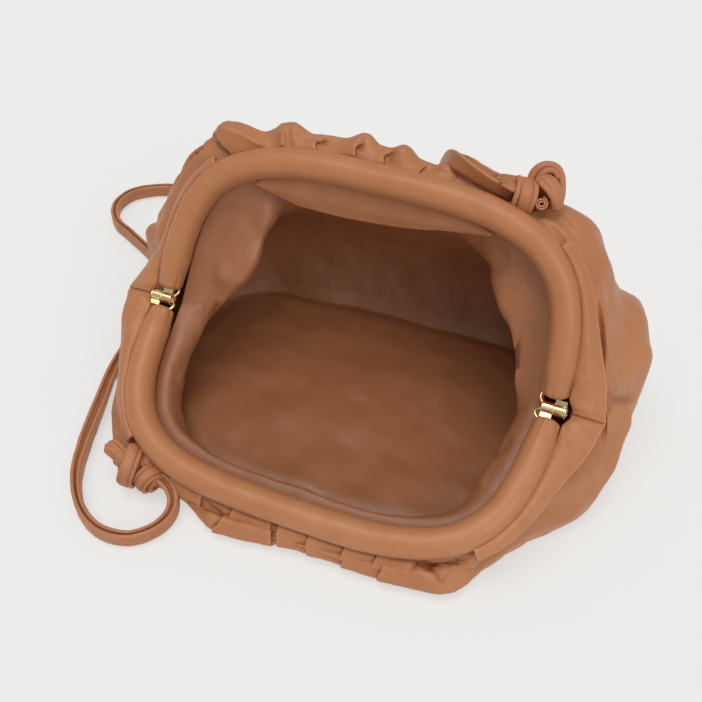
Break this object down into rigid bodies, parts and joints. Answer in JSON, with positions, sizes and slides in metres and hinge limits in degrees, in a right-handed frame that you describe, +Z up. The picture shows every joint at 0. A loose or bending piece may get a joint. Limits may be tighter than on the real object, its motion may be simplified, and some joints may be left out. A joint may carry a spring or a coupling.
{
  "type": "crossbody bag",
  "caption": "Slouchy gathered leather crossbody pouch with a hinged padded frame mouth, lying open, its narrow folded strap knotted at opposite corners.",
  "frame": {"origin": "on the surface that the bag rests on, under the middle of the bag without its strap", "axes": "+X along the hinge axis to the right as seen from the low front half of the mouth, +Y towards the raised back half, +Z up"},
  "size_m": [0.3363, 0.2503, 0.1361],
  "materials": {
    "outer_leather": "soft smooth caramel leather with a low satin sheen",
    "inner_leather": "thin matt leather, a little darker than outside",
    "strap_leather": "folded leather with a groove along the middle",
    "gold_metal": "polished pale gold plating"
  },
  "bodies": {
    "root": {"body": "outer_leather", "lining": "inner_leather", "facing_back": "inner_leather", "frame_front": "outer_leather", "frame_back": "outer_leather", "tab_front_right": "outer_leather", "tab_front_left": "outer_leather", "tab_back_right": "outer_leather", "tab_back_left": "outer_leather", "hinge_right_front": "gold_metal", "hinge_right_back": "gold_metal", "hinge_right_pin": "gold_metal", "hinge_left_front": "gold_metal", "hinge_left_back": "gold_metal", "hinge_left_pin": "gold_metal", "knot_front_left": "strap_leather", "knot_back_right": "strap_leather", "strap": "strap_leather"}
  },
  "joints": []
}
